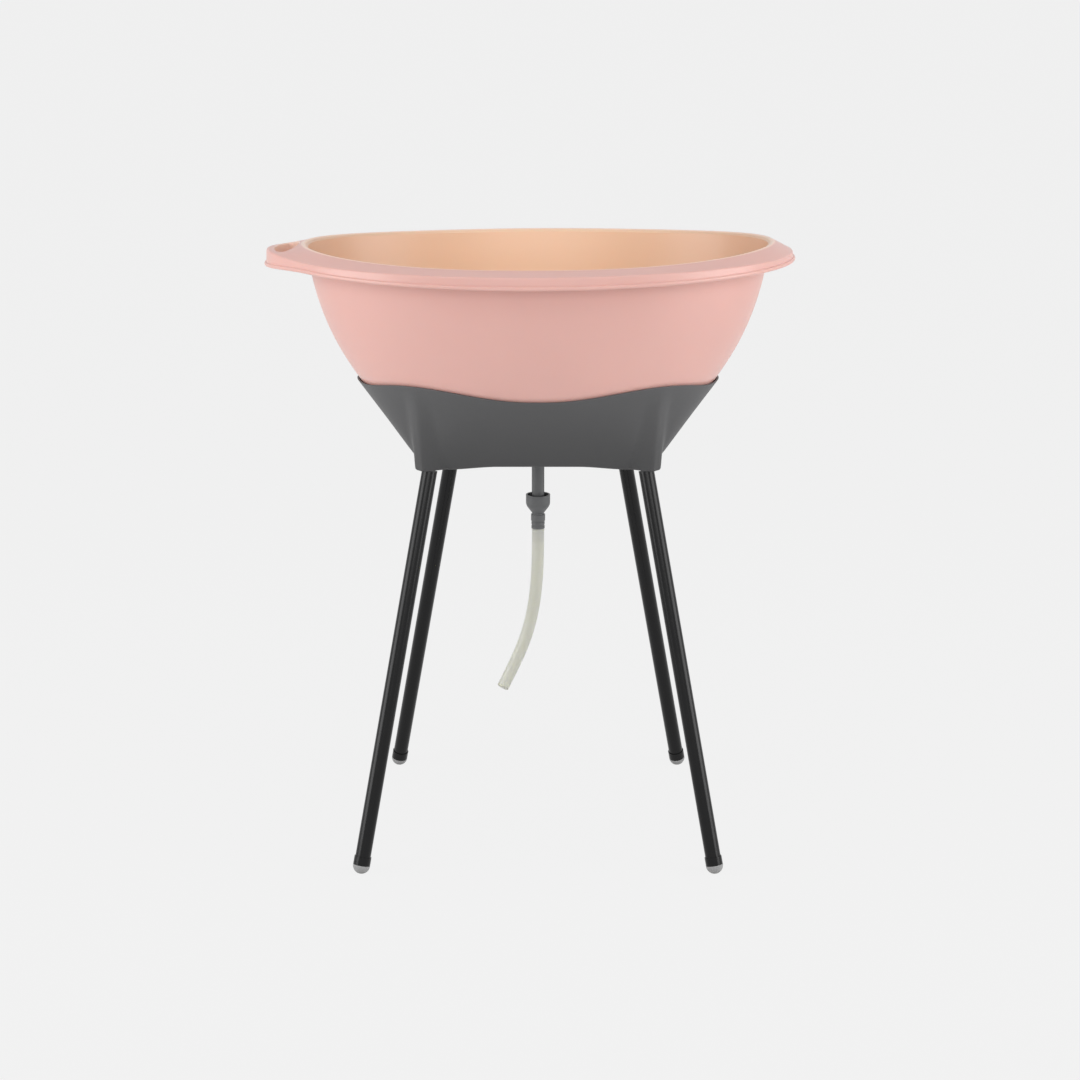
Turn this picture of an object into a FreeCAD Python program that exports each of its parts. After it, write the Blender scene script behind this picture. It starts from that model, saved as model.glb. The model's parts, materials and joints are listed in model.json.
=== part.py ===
import FreeCAD, Part
import Sketcher
import math
import os

os.makedirs("parts", exist_ok=True)
doc = FreeCAD.newDocument("baby_bath")
V = FreeCAD.Vector
Rotation = FreeCAD.Rotation
Placement = FreeCAD.Placement

# All lengths in millimetres, angles in degrees. X runs along the bath, Z is up from the floor.
SIZES = [
    ("crest_half_length", 361.5, "half length of the crest line of the rim"),
    ("crest_half_width", 235.0, "half width of the crest line of the rim"),
    ("crest_height", 938.0, "height of the crest at the long sides"),
    ("crest_raise", 11.5, "how much higher the crest is at the two ends"),
    ("crest_round", 4.0, "rounding of the crest"),
    ("rim_tilt", 2.0, "how much the plain end of the rim is lifted and the other one lowered"),
    ("flange_width", 34.0, "width of the sloping rim in plan"),
    ("nose_reach", 26.0, "how far the soap tray nose sticks out past the rim"),
    ("nose_half_span", 110.0, "half width of the nose"),
    ("nose_raise", 6.4, "how much higher the outer edge is at the nose"),
    ("nose_lip_drop", 5.6, "how much deeper the lip reaches at the nose"),
    ("edge_drop", 6.0, "height of the crest above the outer edge, at the long sides"),
    ("edge_raise", 2.8, "how much higher the outer edge is at the two ends"),
    ("edge_round", 3.0, "rounding of the outer edge"),
    ("lip_length", 19.0, "height of the outer lip, at the long sides"),
    ("lip_raise", 7.6, "how much higher the lower end of the lip is at the two ends"),
    ("bead_reach", 3.0, "how far the bead stands out of the lip"),
    ("bead_height", 6.0, "height of the bead"),
    ("shell_wall", 3.0, "wall of the bath"),
    ("base_height", 650.0, "height of the underside of the bath"),
    ("base_rise", 35.0, "height of the rounding between base and wall"),
    ("tray_inner_gap", 10.0, "distance of the soap tray from the crest line"),
    ("tray_outer_gap", 13.5, "distance of the soap tray from the outer edge of the nose"),
    ("tray_end_gap", 60.0, "distance of the soap tray from the ends of the nose"),
    ("tray_depth", 11.0, "depth of the soap tray floor below the outer edge"),
    ("tray_round", 2.5, "rounding of the soap tray mouth"),
    ("skirt_wall", 3.4, "wall of the cradle, measured level"),
    ("skirt_clear", 1.6, "level gap between the bath and the cradle"),
    ("skirt_top_round", 1.4, "rounding of the upper edge of the cradle"),
    ("skirt_low_round", 2.6, "rounding of the lower edge of the cradle"),
    ("skirt_end_rise", 86.5, "height of the cradle edge over the underside of the bath, at the ends"),
    ("skirt_side_rise", 82.4, "the same at the middle of the sides"),
    ("skirt_wave", 14.7, "how much the cradle edge rises at the corners"),
    ("skirt_drop", 29.5, "how far the cradle reaches below the underside of the bath"),
    ("skirt_dip", 7.0, "how much the lower edge drops at the corners"),
    ("skirt_end_lift", 16.0, "how much the lower edge rises at the ends, over the folded legs"),
    ("housing_room", 4.6, "room around a leg tube in its housing"),
    ("housing_blend", 9.0, "softness of the joint between housing and cradle"),
    ("housing_out", 2.15, "how far a housing stands outside its leg, along X"),
    ("front_housing_out", 2.45, "how far a front housing stands outside its leg, along Y"),
    ("rear_housing_out", 12.18, "how far a rear housing stands outside its leg, along Y"),
    ("deck_thick", 3.0, "thickness of the deck"),
    ("deck_open_gap", 16.0, "room around the locknut in the opening of the deck"),
    ("pad_height", 3.0, "height of a rest pad"),
    ("pad_radius", 11.0, "radius of a rest pad"),
    ("pad_x", 100.0, "rest pads, distance from the middle"),
    ("pad_y", 72.0, "rest pads, distance from the middle"),
    ("front_hinge_x", 163.4, "front hinges, distance from the middle"),
    ("front_hinge_y", 112.0, "front hinges, distance from the middle"),
    ("rear_hinge_x", 131.9, "rear hinges, distance from the middle"),
    ("rear_hinge_y", 102.0, "rear hinges, distance from the middle"),
    ("front_splay_x", 110.4, "front feet, distance from their hinges along X"),
    ("front_splay_y", 133.0, "front feet, distance from their hinges along Y"),
    ("rear_splay_x", 110.3, "rear feet, distance from their hinges along X"),
    ("rear_splay_y", 143.0, "rear feet, distance from their hinges along Y"),
    ("rear_pin_turn", 12.5, "angle that turns the rear hinge pins in plan"),
    ("ear_thick", 4.0, "thickness of a hinge ear"),
    ("ear_rim", 0.5, "how far a hinge ear stands out past the barrel"),
    ("barrel_length", 22.0, "length of the hinge barrel on a leg"),
    ("barrel_radius", 12.5, "radius of the hinge barrel"),
    ("barrel_room", 1.5, "gap between barrel and deck"),
    ("barrel_clear", 0.3, "gap between barrel and ear"),
    ("heel_width", 18.0, "width of the stop on the barrel"),
    ("heel_reach", 6.5, "reach of the stop from the hinge line"),
    ("heel_inset", 1.0, "inner side of the stop from the hinge line"),
    ("pin_radius", 4.0, "radius of a hinge pin"),
    ("pin_clear", 0.05, "gap between pin and barrel"),
    ("pin_chamfer", 0.8, "chamfer at the ends of a pin"),
    ("neck_radius", 8.5, "radius of the neck under the barrel"),
    ("neck_length", 19.0, "distance from hinge to collar"),
    ("fold_turn", 90.0, "angle that a leg folds by"),
    ("swing_clear", 0.6, "gap between a folding leg and the cradle wall"),
    ("swing_reach", 100.0, "how far from the hinge the room for a folding leg reaches"),
    ("collar_length", 2.0, "length of the collar on top of the tube"),
    ("spigot_length", 38.0, "length of the spigot inside the tube"),
    ("tube_radius", 12.0, "radius of a leg tube"),
    ("tube_wall", 1.5, "wall of a leg tube"),
    ("foot_wall", 1.3, "wall of a foot around its tube"),
    ("foot_flat", 0.8, "how much the foot is flattened at the floor"),
    ("foot_sleeve", 14.0, "length of the sleeve above the ball of the foot"),
    ("foot_seat", 2.0, "distance from the ball centre to the end of the tube"),
    ("drain_flange_reach", 9.0, "how far the outlet flange stands out of the thread"),
    ("drain_flange_thick", 2.5, "thickness of the outlet flange"),
    ("drain_flange_edge", 1.2, "thickness of the outlet flange at its edge"),
    ("drain_seat_wall", 3.0, "wall between thread and plug seat"),
    ("drain_seat_room", 2.0, "room under the plug in its seat"),
    ("drain_thread_radius", 20.0, "radius of the thread of the outlet"),
    ("drain_thread_length", 20.0, "length of the thread below the bath floor"),
    ("drain_hole_clear", 0.4, "gap between outlet and bath floor"),
    ("tail_radius", 10.0, "radius of the outlet tailpiece"),
    ("tail_wall", 2.0, "wall of the outlet tailpiece"),
    ("tail_length", 119.0, "length of the outlet below the underside of the bath"),
    ("gasket_reach", 8.0, "how far the drain gasket stands out of the thread"),
    ("gasket_thick", 2.0, "thickness of the drain gasket"),
    ("nut_reach", 10.0, "how far the corners of the locknut stand out of the thread"),
    ("nut_height", 12.0, "height of the locknut"),
    ("nut_chamfer", 1.0, "chamfer of the locknut"),
    ("plug_clear", 0.05, "gap between plug and seat"),
    ("plug_head_reach", 4.0, "how far the plug head stands out of its seat"),
    ("plug_head_thick", 3.0, "thickness of the plug head"),
    ("plug_depth", 6.0, "depth of the plug in its seat"),
    ("plug_lead", 1.0, "chamfer at the lower end of the plug"),
    ("plug_tab_length", 26.0, "length of the grip tab"),
    ("plug_tab_thick", 6.0, "thickness of the grip tab"),
    ("plug_tab_height", 16.0, "height of the grip tab"),
    ("plug_tab_round", 2.5, "rounding of the grip tab"),
    ("tail_overlap", 14.0, "how deep the tailpiece sits in the hose connector"),
    ("cup_wall", 2.5, "wall of the connector cup"),
    ("cup_gap", 1.5, "room under the tailpiece in the connector cup"),
    ("cup_floor", 1.5, "thickness of the bottom of the connector cup"),
    ("cup_round", 14.0, "rounding between the cup and the cone under it"),
    ("cone_length", 13.0, "length of the cone under the cup"),
    ("throat_wall", 2.3, "how far the connector neck stands out of the spigot"),
    ("throat_length", 2.5, "length of the neck above the collar"),
    ("ring_reach", 1.7, "how far the connector collar stands out of the neck"),
    ("ring_length", 10.0, "length of the connector collar"),
    ("rib_reach", 1.0, "how far the connector ribs stand out of the neck"),
    ("rib_length", 4.0, "length of a connector rib"),
    ("rib_gap", 2.4, "gap between the connector ribs"),
    ("spout_radius", 7.3, "radius of the connector spigot inside the hose"),
    ("spout_wall", 1.9, "wall of the connector spigot"),
    ("spout_length", 22.0, "length of the connector spigot"),
    ("seal_thick", 6.8, "thickness of the sealing ring"),
    ("seal_drop", 4.0, "distance from mouth to the sealing ring"),
    ("seal_length", 9.0, "length of the sealing ring"),
    ("seal_clear", 0.05, "gap between sealing ring and tailpiece"),
    ("hose_wall", 2.4, "wall of the hose"),
    ("hose_drop", 267.0, "height from the top to the end of the hose"),
]

# Sizes that follow from the ones above.
DERIVED = [
    ("middle_x", "=nose_reach / 2", "middle of the stand; the origin is under the middle of the whole"),
    ("edge_height", "=crest_height - edge_drop", "height of the outer edge of the rim"),
    ("lip_height", "=edge_height - lip_length", "height of the lower end of the outer lip"),
    ("tray_half_length", "=(flange_width + nose_reach - tray_inner_gap - tray_outer_gap) / 2",
     "half length of the soap tray along X"),
    ("tray_half_width", "=nose_half_span - tray_end_gap", "half width of the soap tray along Y"),
    ("tray_offset", "=tray_inner_gap + tray_half_length", "distance of the tray middle from the crest line"),
    ("tray_floor", "=edge_height - tray_depth", "height of the soap tray floor"),
    ("skirt_end_top", "=base_height + skirt_end_rise", "height of the cradle edge at the ends"),
    ("skirt_side_top", "=base_height + skirt_side_rise", "height of the cradle edge at the sides"),
    ("skirt_low", "=base_height - skirt_drop", "height of the lower edge between the corners"),
    ("deck_low", "=base_height - pad_height - deck_thick", "underside of the deck inside the cradle"),
    ("hinge_height", "=deck_low - barrel_radius - barrel_room", "height of the leg hinges"),
    ("ear_radius", "=barrel_radius + ear_rim", "radius of the lower end of a hinge ear"),
    ("foot_radius", "=tube_radius + foot_wall", "radius of a foot"),
    ("foot_centre", "=foot_radius - foot_flat", "height of the middle of the ball of a foot"),
    ("leg_drop", "=hinge_height - foot_centre", "height of a leg from hinge to foot"),
    ("front_foot_x", "=front_hinge_x + front_splay_x", "front feet, distance from the middle"),
    ("front_foot_y", "=front_hinge_y + front_splay_y", "front feet, distance from the middle"),
    ("rear_foot_x", "=rear_hinge_x + rear_splay_x", "rear feet, distance from the middle"),
    ("rear_foot_y", "=rear_hinge_y + rear_splay_y", "rear feet, distance from the middle"),
    ("front_leg_length", "=sqrt(front_splay_x^2 + front_splay_y^2 + leg_drop^2)", "front leg, hinge to foot"),
    ("rear_leg_length", "=sqrt(rear_splay_x^2 + rear_splay_y^2 + leg_drop^2)", "rear leg, hinge to foot"),
    ("exit_share", "=(hinge_height - skirt_low + skirt_dip) / leg_drop", "where a leg leaves its housing"),
    ("housing_radius", "=tube_radius + housing_room + skirt_wall", "radius of a leg housing"),
    ("front_housing_x", "=front_hinge_x + front_splay_x * exit_share + housing_out", "front housings"),
    ("front_housing_y", "=front_hinge_y + front_splay_y * exit_share + front_housing_out", "front housings"),
    ("rear_housing_x", "=rear_hinge_x + rear_splay_x * exit_share + housing_out", "rear housings"),
    ("rear_housing_y", "=rear_hinge_y + rear_splay_y * exit_share + rear_housing_out", "rear housings"),
    ("pin_length", "=barrel_length + 2 * barrel_clear + 2 * ear_thick", "length of a hinge pin"),
    ("drain_top", "=base_height + shell_wall + drain_flange_thick", "top of the outlet flange"),
    ("drain_flange_radius", "=drain_thread_radius + drain_flange_reach", "radius of the outlet flange"),
    ("drain_seat_radius", "=drain_thread_radius - drain_seat_wall", "radius of the plug seat"),
    ("drain_seat_depth", "=plug_depth + drain_seat_room", "depth of the plug seat below the flange top"),
    ("tail_bore", "=tail_radius - tail_wall", "bore radius of the outlet tailpiece"),
    ("tail_low", "=base_height - tail_length", "height of the lower end of the tailpiece"),
    ("gasket_radius", "=drain_thread_radius + gasket_reach", "radius of the drain gasket"),
    ("nut_radius", "=drain_thread_radius + nut_reach", "corner radius of the locknut"),
    ("deck_open_radius", "=nut_radius + deck_open_gap", "radius of the opening in the deck"),
    ("plug_head_radius", "=drain_seat_radius + plug_head_reach", "radius of the plug head"),
    ("gasket_low", "=base_height - gasket_thick", "underside of the drain gasket"),
    ("nut_low", "=gasket_low - nut_height", "underside of the locknut"),
    ("mouth_height", "=tail_low + tail_overlap", "height of the mouth of the hose connector"),
    ("cup_bore", "=tail_radius + seal_thick", "bore radius of the connector cup"),
    ("cup_radius", "=cup_bore + cup_wall", "radius of the connector cup"),
    ("cup_depth", "=tail_overlap + cup_gap", "depth of the connector cup"),
    ("cup_length", "=cup_depth + cup_floor", "outer length of the connector cup"),
    ("throat_radius", "=spout_radius + throat_wall", "radius of the connector neck"),
    ("ring_radius", "=throat_radius + ring_reach", "radius of the connector collar"),
    ("ring_drop", "=cup_length + cone_length + throat_length", "distance from mouth to collar"),
    ("rib_radius", "=throat_radius + rib_reach", "radius of the connector ribs"),
    ("spout_bore", "=spout_radius - spout_wall", "bore radius of the connector"),
    ("hose_radius", "=spout_radius + hose_wall", "radius of the hose"),
    ("hose_top", "=mouth_height - ring_drop - ring_length - 2 * rib_length - 2 * rib_gap", "top of the hose"),
]

# Proportions without a unit.
BASE_LENGTH_SHARE = 0.484
BASE_WIDTH_SHARE = 0.452
WALL_LOW_LENGTH_SHARE = 0.660
WALL_LOW_WIDTH_SHARE = 0.698
WALL_LOW_SLOPE_SHARE = 0.86
WALL_TOP_SLOPE_SHARE = 0.15
WALL_HANDLE_SHARE = 0.37
BASE_HANDLE_SHARE = 0.55
SKIRT_END_SLOPE_SHARE = 0.87
SKIRT_SIDE_SLOPE_SHARE = 0.52
SQUARE_SHARE = 4.0
SQUARE_FADE_SHARE = 2.6
HOUSING_LEAN_SHARE = 0.08
WAVE_TURN = 52.0
WAVE_HALF_SPAN = 36.0
DIP_HALF_SPAN = 30.0
LIFT_HALF_SPAN = 35.0
HOSE_ROUTE_SHARES = [
    (0.0, 0.0), (0.0, 0.1544), (-0.0074, 0.3309), (-0.0276, 0.5037),
    (-0.0699, 0.6765), (-0.1379, 0.8456), (-0.2136, 1.0),
]
RUN_SHARE = 0.45
BEAD_FOOT_SHARE = 1 / 3
BEAD_LOW_SHARE = 1 / 3
BEAD_HIGH_SHARE = 2 / 3
EDGE_SHARES = [(-0.2, -1.0), (-0.5, -0.25), (-1.3, 0.125)]
CREST_SHARES = [(1.25, 0.2), (0.3, 0.0), (-0.3, 0.35)]
WALL_LEAN_SHARE = -0.8
BASE_RING_SHARES = [0.0, 0.2, 0.4, 0.6, 0.8]
WALL_RING_SHARES = [0.0, 1 / 7, 2 / 7, 3 / 7, 4 / 7, 5 / 7, 6 / 7, 1.0]
SKIRT_RING_SHARES = [0.12, 0.26, 0.42, 0.58, 0.74, 0.88]
ROUND_SHARES = [(1.0, 0.0), (0.3, 0.3), (0.0, 1.0)]
MOUTH_SHARES = [(1.4, 0.12), (0.75, -0.04), (0.293, -0.293), (0.04, -0.75), (-0.15, -1.6)]
TUB_POINTS = 96
TRAY_POINTS = 48
SKIRT_POINTS = 168


class Size:
    """A length that carries both its value and the expression that it comes from."""

    def __init__(self, text, value):
        self.text = text
        self.value = value

    def __add__(self, other):
        return Size("(" + self.text + " + " + other.text + ")", self.value + other.value)

    def __sub__(self, other):
        return Size("(" + self.text + " - " + other.text + ")", self.value - other.value)

    def __mul__(self, share):
        return Size("(" + self.text + " * " + repr(share) + ")", self.value * share)

    def __truediv__(self, share):
        return Size("(" + self.text + " / " + repr(share) + ")", self.value / share)

    def __neg__(self):
        return Size("(-1 * " + self.text + ")", -self.value)


ZERO = Size("0", 0.0)


class Sheet:
    """The spreadsheet of sizes, read back as Size objects."""

    def __init__(self):
        self.cells = doc.addObject("Spreadsheet::Sheet", "sizes")
        self.cells.Label = "sizes"
        for row, (name, value, note) in enumerate(SIZES + DERIVED, start=1):
            self.cells.set("A%d" % row, name)
            self.cells.set("B%d" % row, str(value))
            self.cells.set("C%d" % row, note)
            self.cells.setAlias("B%d" % row, name)
        doc.recompute()
        for name, _, _ in SIZES + DERIVED:
            setattr(self, name, Size("sizes." + name, float(self.cells.get(name))))


z = Sheet()


def new_body(name):
    body = doc.addObject("PartDesign::Body", name)
    body.Label = name
    return body


def new_sketch(body, role, lift=None, turn=0.0):
    """A sketch on an origin plane of the body, lifted off it and turned in it."""
    plane = [p for p in body.Origin.OriginFeatures if p.Role == role][0]
    sketch = body.newObject("Sketcher::SketchObject", body.Name + "_sketch")
    sketch.AttachmentSupport = [(plane, "")]
    sketch.MapMode = "FlatFace"
    if lift is not None:
        sketch.AttachmentOffset = Placement(V(0, 0, lift.value), Rotation())
        sketch.setExpression(".AttachmentOffset.Base.z", lift.text)
    if turn:
        sketch.AttachmentOffset = Placement(V(0, 0, 0), Rotation(V(0, 0, 1), turn))
    return sketch


def tie(sketch, kind, line, point, size):
    """Hold one coordinate of a point at a size."""
    if size.value == 0:
        axis = -2 if kind == "DistanceX" else -1
        sketch.addConstraint(Sketcher.Constraint("PointOnObject", line, point, axis))
        return
    index = sketch.addConstraint(Sketcher.Constraint(kind, -1, 1, line, point, size.value))
    sketch.setExpression("Constraints[%d]" % index, size.text)


def draw_outline(sketch, points):
    """A closed outline of straight lines through points given as pairs of sizes."""
    count = len(points)
    corners = [V(x.value, y.value, 0) for x, y in points]
    for i in range(count):
        sketch.addGeometry(Part.LineSegment(corners[i], corners[(i + 1) % count]), False)
    for i in range(count):
        sketch.addConstraint(Sketcher.Constraint("Coincident", i, 2, (i + 1) % count, 1))
    for i, (x, y) in enumerate(points):
        tie(sketch, "DistanceX", i, 1, x)
        tie(sketch, "DistanceY", i, 1, y)


def draw_circle(sketch, radius, x=ZERO, y=ZERO):
    line = sketch.addGeometry(Part.Circle(V(x.value, y.value, 0), V(0, 0, 1), radius.value), False)
    index = sketch.addConstraint(Sketcher.Constraint("Radius", line, radius.value))
    sketch.setExpression("Constraints[%d]" % index, radius.text)
    tie(sketch, "DistanceX", line, 3, x)
    tie(sketch, "DistanceY", line, 3, y)


def revolve(body, points, turn=0.0):
    """Turn an outline of radius and height pairs about the upright axis of its sketch."""
    sketch = new_sketch(body, "XZ_Plane", None, turn)
    draw_outline(sketch, points)
    feature = body.newObject("PartDesign::Revolution", body.Name + "_turned")
    feature.Profile = sketch
    feature.ReferenceAxis = (sketch, ["V_Axis"])
    feature.Angle = 360.0
    return feature


def pad(body, sketch, length, both_ways=False):
    feature = body.newObject("PartDesign::Pad", body.Name + "_pad")
    feature.Profile = sketch
    feature.setExpression("Length", length.text)
    if both_ways:
        feature.SideType = "Symmetric"
    return feature


def pocket(body, sketch, length):
    """Cut the sketch out of the body to both sides of its plane."""
    feature = body.newObject("PartDesign::Pocket", body.Name + "_pocket")
    feature.Profile = sketch
    feature.setExpression("Length", length.text)
    feature.SideType = "Symmetric"
    return feature


def place(feature, x=None, y=None, height=None):
    """Put a sub-part at a place given by sizes; X is counted from the middle of the stand."""
    base = {"x": z.middle_x if x is None else z.middle_x + x, "y": y, "z": height}
    for axis, size in base.items():
        if size is not None:
            feature.setExpression(".Placement.Base." + axis, size.text)


def free_form(name, shape):
    feature = doc.addObject("Part::Feature", name)
    feature.Label = name
    feature.Shape = shape
    place(feature)
    return feature


def ring_wire(points):
    """A closed smooth wire through points, with the same even spacing of its knots for all rings."""
    knots = [i / len(points) for i in range(len(points) + 1)]
    curve = Part.BSplineCurve()
    curve.interpolate(Points=points, PeriodicFlag=True, Parameters=knots)
    return Part.Wire([curve.toShape()])


def band(wires, ruled=False):
    return Part.makeLoft(wires, False, ruled).Faces


def closed_solid(faces):
    compound = Part.makeCompound(faces)
    compound.sewShape()
    solid = Part.Solid(compound.Shells[0])
    if solid.Volume < 0:
        solid.reverse()
    return solid


def bezier(points, t):
    """A point on a cubic curve through four control points, and its direction."""
    a, b, c, d = points
    u = 1.0 - t
    spot = [u ** 3 * a[i] + 3 * u * u * t * b[i] + 3 * u * t * t * c[i] + t ** 3 * d[i] for i in (0, 1)]
    way = [u * u * (b[i] - a[i]) + 2 * u * t * (c[i] - b[i]) + t * t * (d[i] - c[i]) for i in (0, 1)]
    return spot, way


def bump(x):
    """One at zero, falling softly to zero at plus and minus one."""
    return math.cos(math.pi / 2 * x) ** 2 if abs(x) < 1 else 0.0


# Bath tub.
WALL_START = z.base_height.value + z.base_rise.value
WALL_END = z.crest_height.value - z.shell_wall.value - z.crest_round.value / 2


def wall_curve(half, base_share, low_share, top):
    """Control points of base rounding and wall, as pairs of reach and height."""
    slope = WALL_LOW_SLOPE_SHARE * half / z.crest_half_length.value
    handle = WALL_HANDLE_SHARE * (WALL_END - WALL_START)
    low = (half * low_share, WALL_START)
    start = (half * base_share, z.base_height.value)
    bend = BASE_HANDLE_SHARE * z.base_rise.value
    base = [start, (start[0] + bend, start[1]), (low[0] - slope * bend, low[1] - bend), low]
    wall = [
        low,
        (low[0] + slope * handle, low[1] + handle),
        (top - WALL_TOP_SLOPE_SHARE * handle, WALL_END - handle),
        (top, WALL_END),
    ]
    return base, wall


LENGTH_CURVE = wall_curve(
    z.crest_half_length.value, BASE_LENGTH_SHARE, WALL_LOW_LENGTH_SHARE,
    z.crest_half_length.value + z.shell_wall.value * WALL_LEAN_SHARE)
WIDTH_CURVE = wall_curve(
    z.crest_half_width.value, BASE_WIDTH_SHARE, WALL_LOW_WIDTH_SHARE,
    z.crest_half_width.value + z.shell_wall.value * WALL_LEAN_SHARE)


def reach_at(curve, height):
    """Reach and slope of base rounding or wall at a height."""
    part = curve[1] if height >= WALL_START else curve[0]
    low, high = 0.0, 1.0
    for _ in range(50):
        t = (low + high) / 2
        spot, way = bezier(part, t)
        if spot[1] < height:
            low = t
        else:
            high = t
    return spot[0], way


def lifted(height, turn):
    """The wall stretches upwards towards the ends, where the crest is raised."""
    share = max(0.0, (height - WALL_START) / (WALL_END - WALL_START))
    return height + rim_lift(turn) * share ** 2


TUB_TURNS = [2 * math.pi * i / TUB_POINTS for i in range(TUB_POINTS)]


def wall_rings(inset):
    """Rings of the bath wall from base to crest, moved inwards by a wall thickness."""
    rings = []
    steps = [(0, t) for t in BASE_RING_SHARES] + [(1, t) for t in WALL_RING_SHARES]
    for part, t in steps:
        spot, way = bezier(LENGTH_CURVE[part], t)
        size = math.hypot(*way)
        along = spot[0] - inset * way[1] / size
        height = spot[1] + inset * way[0] / size
        if part == 0 and t == 0.0:
            side, side_way = WIDTH_CURVE[0][0][0], (1.0, 0.0)
        else:
            side, side_way = reach_at(WIDTH_CURVE, spot[1])
        across = side - inset * side_way[1] / math.hypot(*side_way)
        rings.append([
            V(along * math.cos(p), across * math.sin(p), lifted(height, p)) for p in TUB_TURNS])
    return rings


def crest_point(turn, offset, height):
    """A point at an offset from the crest line, square to it in plan."""
    a, b = z.crest_half_length.value, z.crest_half_width.value
    way = V(math.cos(turn) / a, math.sin(turn) / b, 0).normalize()
    return V(a * math.cos(turn), b * math.sin(turn), height) + way * offset


def nose(turn):
    """One in the middle of the soap tray nose, zero outside it."""
    if math.cos(turn) > 0:
        return 0.0
    return bump(z.crest_half_width.value * math.sin(turn) / z.nose_half_span.value)


def rim_lift(turn):
    """Height of the crest over its height at the long sides."""
    return z.crest_raise.value * abs(math.cos(turn)) ** 3 + z.rim_tilt.value * math.cos(turn)


def edge_lift(turn):
    """The same for the outer edge of the rim."""
    ends = z.edge_raise.value * math.cos(turn) ** 2 + z.rim_tilt.value * math.cos(turn)
    return ends + z.nose_raise.value * nose(turn)


def lip_lift(turn):
    """The same for the lower end of the lip."""
    ends = z.lip_raise.value * math.cos(turn) ** 2 + z.rim_tilt.value * math.cos(turn)
    return ends - z.nose_lip_drop.value * nose(turn)


def crest_ring(offset, drop):
    top = z.crest_height.value - drop
    return ring_wire([crest_point(p, offset, top + rim_lift(p)) for p in TUB_TURNS])


def rim_ring(offset, height, lift):
    """A ring at an offset from the outer edge of the rim."""
    width = z.flange_width.value + offset
    return ring_wire([
        crest_point(p, width + z.nose_reach.value * nose(p), height + lift(p)) for p in TUB_TURNS])


def make_tub():
    wall, bead, lip = z.shell_wall.value, z.bead_reach.value, z.lip_height.value
    outside = [ring_wire(r) for r in wall_rings(0.0)]
    inside = [ring_wire(r) for r in wall_rings(wall)]
    under = rim_ring(-wall, z.edge_height.value - wall, edge_lift)
    lip_in = rim_ring(-wall, lip, lip_lift)
    lip_out = rim_ring(bead * BEAD_FOOT_SHARE, lip, lip_lift)
    bead_low = rim_ring(bead, lip + z.bead_height.value * BEAD_LOW_SHARE, lip_lift)
    bead_high = rim_ring(bead, lip + z.bead_height.value * BEAD_HIGH_SHARE, lip_lift)
    bead_top = rim_ring(0.0, lip + z.bead_height.value, lip_lift)
    edge = [
        rim_ring(z.edge_round.value * out, z.edge_height.value + z.edge_round.value * up, edge_lift)
        for out, up in EDGE_SHARES]
    crest = [
        crest_ring(z.crest_round.value * out, z.crest_round.value * drop) for out, drop in CREST_SHARES]
    faces = [Part.Face(outside[0])]
    faces += band(outside)
    faces += band([outside[-1], under], True)
    faces += band([under, lip_in], True)
    faces += band([lip_in, lip_out], True)
    faces += band([lip_out, bead_low, bead_high, bead_top])
    faces += band([bead_top, edge[0]], True)
    faces += band(edge)
    faces += band([edge[-1], crest[0]], True)
    faces += band(crest + [inside[-1]])
    faces += band(inside)
    faces += [Part.Face(inside[0])]
    tub = add_tray(closed_solid(faces), edge[-1], crest[0])
    hole = z.drain_thread_radius.value + z.drain_hole_clear.value
    return tub.cut(Part.makeCylinder(hole, z.edge_height.value, V(0, 0, 0)))


def add_tray(tub, rim_edge, rim_crest):
    """Let the soap tray into the sloping rim between two of its lines."""
    wall, floor = z.shell_wall.value, z.tray_floor.value
    above = z.crest_height.value + z.crest_raise.value + z.crest_round.value
    lift = V(0, 0, above)
    slope = band([rim_edge, rim_crest], True)
    lid = slope + band([w.translated(lift) for w in (rim_edge, rim_crest)], True)
    lid += rim_edge.extrude(lift).Faces + rim_crest.extrude(lift).Faces
    lid = closed_solid(lid)
    pan = Part.Face(tray_ring(wall, floor - wall)).extrude(V(0, 0, above - floor + wall))
    hollow = Part.Face(tray_ring(0.0, floor)).extrude(V(0, 0, above - floor))
    return tub.fuse(pan.cut(lid)).cut(hollow).cut(tray_mouth(slope[0], floor, above))


def tray_mouth(slope, floor, above):
    """What the rounding of the tray mouth takes away from the sloping rim."""
    size = z.tray_round.value
    rings = [tray_ring(size * out, size * up, slope) for out, up in MOUTH_SHARES]
    top = tray_ring(size * MOUTH_SHARES[0][0], above)
    low = tray_ring(size * MOUTH_SHARES[-1][0], floor + size)
    faces = [Part.Face(top), Part.Face(low)]
    faces += band([top, rings[0]], True) + band(rings) + band([rings[-1], low], True)
    return closed_solid(faces)


def tray_ring(offset, height, slope=None):
    """An oval around the middle of the tray, level or at a height over the sloping rim."""
    points = []
    for i in range(TRAY_POINTS):
        turn = 2 * math.pi * i / TRAY_POINTS
        x = (z.tray_half_length.value + offset) * math.cos(turn)
        x -= z.crest_half_length.value + z.tray_offset.value
        y = (z.tray_half_width.value + offset) * math.sin(turn)
        spot = V(x, y, 0)
        if slope is not None:
            upright = Part.makeLine(spot, spot + V(0, 0, 2 * z.crest_height.value))
            spot = slope.section(upright).Vertexes[0].Point
        points.append(spot + V(0, 0, height))
    return ring_wire(points)


# Cradle.
FULL_TOP = z.skirt_side_top.value + z.skirt_wave.value


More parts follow.
